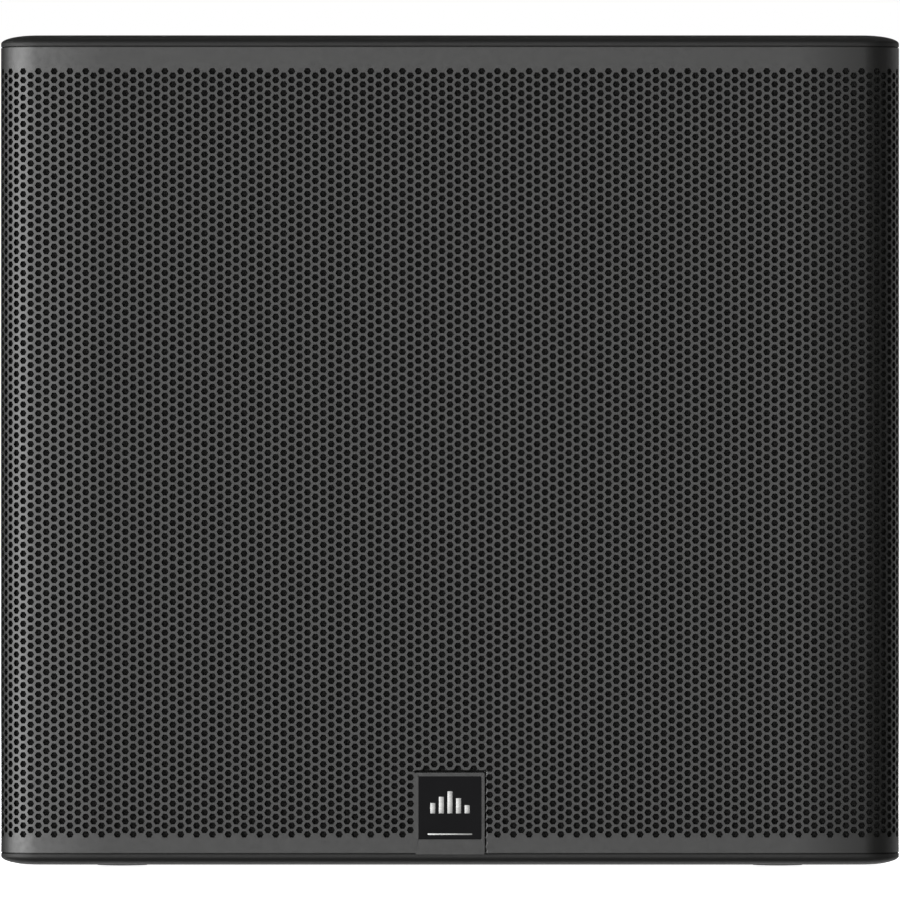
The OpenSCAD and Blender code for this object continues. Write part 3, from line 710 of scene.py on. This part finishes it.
def grille_piece(name, first, last):
    """The columns first..last of the perforated sheet, as one closed solid.

    Both skins share one layout, and every free edge of it becomes a wall through the sheet.
    """
    layout = perforated(first, last)
    n = len(layout.places)
    points = [sheet_point(s, z, 0) for s, z in layout.places]
    points += [sheet_point(s, z, SHEET_T) for s, z in layout.places]
    edges = {(ring[i - 1], v): None for ring in layout.faces for i, v in enumerate(ring)}
    faces = [tuple(ring) for ring in layout.faces]
    faces += [tuple(v + n for v in reversed(ring)) for ring in layout.faces]
    faces += [(b, a, a + n, b + n) for a, b in edges if (b, a) not in edges]
    sheet = add_mesh(name, points, faces)
    cut_openings(sheet)
    return dress(sheet, "grille_steel", replaces=["grille"])


def add_box(points, faces, low, high):
    """Adds a box to lists of points and faces."""
    start = len(points)
    points += [(x, y, z) for z in (low[2], high[2])
               for x, y in ((low[0], low[1]), (high[0], low[1]), (high[0], high[1]),
                            (low[0], high[1]))]
    faces += [tuple(start + i for i in f)
              for f in ((3, 2, 1, 0), (4, 5, 6, 7), (0, 1, 5, 4), (1, 2, 6, 5), (2, 3, 7, 6),
                        (3, 0, 4, 7))]


def cut_openings(sheet):
    """Cuts the countersinks for the flange screws and the dark gaps beside the badge."""
    lo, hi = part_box("grille_screws")
    spots = [(side * HALF_W, (lo.y + hi.y) / 2, z) for side in (-1, 1) for z in SCREW_Z]
    points, faces, n = [], [], 48
    reach = 5 * MM
    for x, y, z in spots:
        start = len(points)
        for across in (-reach, reach):
            points += [(x + across, y + p.x, z + p.y) for p in circle(SCREW_SINK_R, n)]
        faces += [(start + k, start + (k + 1) % n, start + n + (k + 1) % n, start + n + k)
                  for k in range(n)]
        faces += [tuple(start + k for k in reversed(range(n))),
                  tuple(start + n + k for k in range(n))]
    right, top = badge_hi.x + GAP_SIDE, badge_hi.z + GAP_TOP
    gaps = [(badge_lo.x, right, badge_hi.z - GAP_UNDER, top),
            (badge_hi.x - GAP_UNDER, right, grille_lo.z - MM, top)]
    for x0, x1, z0, z1 in gaps:
        add_box(points, faces, (x0, FRONT_Y - 2 * MM, z0), (x1, FRONT_Y + 3 * MM, z1))
    cutter = add_mesh("cutter", points, faces)
    tool = sheet.modifiers.new("openings", "BOOLEAN")
    tool.solver = "MANIFOLD"
    tool.object = cutter
    bake(sheet)
    bpy.data.objects.remove(cutter)


def bake(piece):
    """Turns a piece's modifiers into its mesh."""
    scene_now = bpy.context.evaluated_depsgraph_get()
    mesh = bpy.data.meshes.new_from_object(piece.evaluated_get(scene_now))
    piece.modifiers.clear()
    piece.data = mesh


def grille():
    """The sheet in two halves, so that each stays light enough to save as a file."""
    reach = int(sheet_length() / COLUMN_STEP) + 2
    grille_piece("grille_sheet_L", -reach, 0)
    grille_piece("grille_sheet_R", 0, reach)


# ---------------------------------------------------------------- badge

def badge_emblem():
    """A generic mark on the badge: five bars of a level meter over a thin rule."""
    face_y = insert_lo.y
    proud, depth, soften = 0.12 * MM, 0.3 * MM, 0.25 * MM
    heights = [h * MM for h in (7.5, 12, 16, 11, 6)]
    bar_w, pitch = 3.6 * MM, 6.2 * MM
    foot_z = (insert_lo.z + insert_hi.z) / 2 - 4 * MM
    bars = [((i - 2) * pitch - bar_w / 2, (i - 2) * pitch + bar_w / 2, foot_z, foot_z + h)
            for i, h in enumerate(heights)]
    rule_half, rule_z, rule_h = 16 * MM, insert_lo.z + 3.2 * MM, 1.1 * MM
    bars.append((-rule_half, rule_half, rule_z, rule_z + rule_h))
    points, faces = [], []
    for x0, x1, z0, z1 in bars:
        start = len(points)
        rings = []
        for inset, y in ((0, face_y + depth), (0, face_y - proud / 2), (soften, face_y - proud)):
            rings.append([(x0 + inset, y, z0 + inset), (x1 - inset, y, z0 + inset),
                          (x1 - inset, y, z1 - inset), (x0 + inset, y, z1 - inset)])
        points += [p for ring in rings for p in ring]
        faces += [tuple(start + i for i in f) for f in loft(rings)]
        faces += [(start + 3, start + 2, start + 1, start),
                  tuple(start + 8 + k for k in range(4))]
    return dress(add_mesh("badge_emblem", points, faces), "emblem")


# ---------------------------------------------------------------- soft parts

def skin_pair(name, columns, rows, at, sharp=60):
    """A closed pad: at(i, j, side) gives the points of its two skins, which meet at the rim."""
    across, up = len(columns), len(rows)
    points = [at(u, v, side) for side in (0, 1) for u in columns for v in rows]
    half = across * up
    faces = []
    for i in range(across - 1):
        for j in range(up - 1):
            a, b, c, d = i * up + j, (i + 1) * up + j, (i + 1) * up + j + 1, i * up + j + 1
            faces += [(a, b, c, d), (half + d, half + c, half + b, half + a)]
    rim = ([i * up for i in range(across)] + [(across - 1) * up + j for j in range(1, up)]
           + [i * up + up - 1 for i in reversed(range(across - 1))]
           + [j for j in reversed(range(1, up - 1))])
    faces += [(rim[k - 1], rim[k - 1] + half, rim[k] + half, rim[k]) for k in range(len(rim))]
    return add_mesh(name, points, faces, sharp, merge=1e-7)


def grid(low, high, step, edge):
    """Evenly spread values with an extra one close to each end, for a rounded rim."""
    n = round((high - low) / step)
    inner = [low + edge + (high - low - 2 * edge) * k / n for k in range(n + 1)]
    return [low, low + edge * 0.3] + inner + [high - edge * 0.3, high]


def foam_pad():
    """The foam behind the perforation follows the sheet's bends."""
    lo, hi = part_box("grille_foam")
    gap, thick, rim, step = 0.8 * MM, 8 * MM, 1.6 * MM, 3.5 * MM
    rough_depth, rough_scale, least = 0.25 * MM, 160, 0.2 * MM
    tilt_end = math.radians(83)
    reach = FAINT_END + TIGHT_R * (tilt_end - FAINT_TILT)
    columns, rows = grid(-reach, reach, step, rim), grid(lo.z, hi.z, step, rim)

    def at(s, z, side):
        edge = min(reach - abs(s), z - lo.z, hi.z - z)
        round_in = rim * (1 - math.sqrt(1 - (1 - min(edge / rim, 1)) ** 2))
        rough = rough_depth * noise.noise(Vector((s, z, 0)) * rough_scale)
        if side == 0:
            return sheet_point(s, z, SHEET_T + gap + round_in + max(rough, -least) + least)
        return sheet_point(s, z, SHEET_T + gap + thick - round_in - abs(rough))

    pad = dress(skin_pair("foam_pad", columns, rows, at), "open_foam", replaces=["grille_foam"])


def wadding_pads():
    """Fibre lining pads: crowned, with soft rims and an uneven surface."""
    lo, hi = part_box("damping_wadding")
    slab, step, rim = 25 * MM, 5 * MM, 2 * MM
    side_top, top_half = lo.z + 440 * MM, 270 * MM
    squareness, fullness = 10, 0.45
    lump_depth, lump_scale, tuft_depth, tuft_scale = 0.16, 30, 0.05, 140
    pads = [("wadding_L", lo, Vector((lo.x + slab, hi.y, side_top)), 0),
            ("wadding_R", Vector((hi.x - slab, lo.y, lo.z)), Vector((hi.x, hi.y, side_top)), 0),
            ("wadding_top", Vector((-top_half, lo.y, hi.z - slab)),
             Vector((top_half, hi.y, hi.z)), 2)]
    for name, low, high, axis in pads:
        u_axis, v_axis = [a for a in range(3) if a != axis]
        middle, half = (low + high) / 2, (high - low) / 2

        def at(u, v, side):
            fade_u = 1 - abs((u - middle[u_axis]) / half[u_axis]) ** squareness
            fade_v = 1 - abs((v - middle[v_axis]) / half[v_axis]) ** squareness
            full = (max(fade_u, 0) * max(fade_v, 0)) ** fullness
            lumps = noise.noise(Vector((u, v, side)) * lump_scale)
            tufts = noise.noise(Vector((v, u, side)) * tuft_scale)
            lump = 1 - lump_depth * (0.5 + 0.5 * lumps) - tuft_depth * (0.5 + 0.5 * tufts)
            point = Vector(middle)
            point[u_axis], point[v_axis] = u, v
            point[axis] += (1 if side else -1) * half[axis] * full * lump
            return tuple(point)

        pad = skin_pair(name, grid(low[u_axis], high[u_axis], step, rim),
                        grid(low[v_axis], high[v_axis], step, rim), at)
        dress(pad, "wadding", replaces=["damping_wadding"])


def radial_blend(piece):
    """Bakes the ring's placement into its mesh."""
    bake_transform(piece)


def surround():
    """The half roll between the cone and the basket."""
    lo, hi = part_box("surround")
    back, thick = hi.y, 1 * MM
    roll_r, outer_r, inner_r = 191 * MM, 13 * MM, 12 * MM
    start = math.asin(thick / outer_r)
    steps = 20
    front = [(roll_r + outer_r * math.cos(a), back - outer_r * math.sin(a))
             for a in (start + (math.pi - 2 * start) * k / steps for k in range(steps + 1))]
    rear = [(roll_r + inner_r * math.cos(a), back - inner_r * math.sin(a))
            for a in (math.pi - math.pi * k / steps for k in range(steps + 1))]
    inner_edge, outer_edge = 172 * MM, hi.x
    profile = ([(outer_edge, back - thick)] + front + [(inner_edge, back - thick),
               (inner_edge, back)] + rear + [(outer_edge, back)])
    centre = (0, 0, (lo.z + hi.z) / 2)
    ring = turned("surround_roll", profile, centre)
    dress(ring, "surround_cloth", body=None, replaces=["surround"])
    radial_blend(ring)


def spider():
    """The corrugated disc that centres the coil."""
    lo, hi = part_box("spider")
    middle_y = (lo.y + hi.y) / 2
    wave_r, first_r, waves, thick = 5.6 * MM, 59 * MM, 6, 0.8 * MM
    coil_r, still_inner_r, still_outer_r = 50.6 * MM, 54 * MM, 120 * MM
    steps = 10
    line = [(coil_r, 0.0)]
    for i in range(waves):
        side = 1 if i % 2 == 0 else -1
        centre_r = first_r + 2 * wave_r * i
        line += [(centre_r - wave_r * math.cos(math.pi * k / steps),
                  side * wave_r * math.sin(math.pi * k / steps))
                 for k in range(0 if i == 0 else 1, steps + 1)]
    line.append((hi.x, 0.0))
    skins = {}
    for side in (-0.5, 0.5):
        skin = []
        for k, (r, y) in enumerate(line):
            before, after = line[max(k - 1, 0)], line[min(k + 1, len(line) - 1)]
            along = Vector((after[0] - before[0], after[1] - before[1])).normalized()
            skin.append((r - along.y * thick * side, middle_y + y + along.x * thick * side))
        skins[side] = skin
    profile = skins[-0.5] + skins[0.5][::-1]
    centre = (0, 0, (lo.z + hi.z) / 2)
    ring = turned("spider_disc", profile, centre)
    dress(ring, "spider_cloth", body=None, replaces=["spider"])
    radial_blend(ring)


# ---------------------------------------------------------------- finish of the CAD parts

# Bevel widths in millimetres
EDGE_WIDTHS = {"side_panel_L": 0.8, "side_panel_R": 0.8, "rear_panel": 0.8,
               "feet": 1.0, "handle_grip_L": 0.8, "handle_grip_R": 0.8, "badge_frame": 0.25,
               "badge_insert": 0.2}
PLAIN_EDGE = 0.3
SKIP_EDGES = {"driver_lead", "cone", "dust_cap", "board_components"}
EDGE_ANGLE = math.radians(35)
WELD_WITHIN = 0.005 * MM


def finish_cad(node, piece, slot):
    """Smooth shading, softly rounded edges and the material of the node's slot."""
    piece.data.materials.clear()
    piece.data.materials.append(MATERIALS[slot])
    piece.data.shade_smooth()
    weld = piece.modifiers.new("weld", "WELD")
    weld.merge_threshold = WELD_WITHIN
    if node not in SKIP_EDGES:
        bevel = piece.modifiers.new("soft edges", "BEVEL")
        bevel.width = EDGE_WIDTHS.get(node, PLAIN_EDGE) * MM
        bevel.segments = 2
        bevel.limit_method = "ANGLE"
        bevel.angle_limit = EDGE_ANGLE
    normals = piece.modifiers.new("normals", "WEIGHTED_NORMAL")
    normals.keep_sharp = True


# ---------------------------------------------------------------- main

camera()
studio_light()
rear_lights()
studio_floor()

slots = {part["node"]: part["material_slot"] for part in frame["record"]["subparts"]}
for cad_node, cad_piece in frame["nodes"].items():
    finish_cad(cad_node, cad_piece, slots[cad_node])

crowned_panel("top_panel_crowned", "top_panel", True)
crowned_panel("bottom_panel_crowned", "bottom_panel", False)
grille()
badge_emblem()
foam_pad()
wadding_pads()
surround()
spider()

bpy.context.scene.view_settings.view_transform = "Standard"
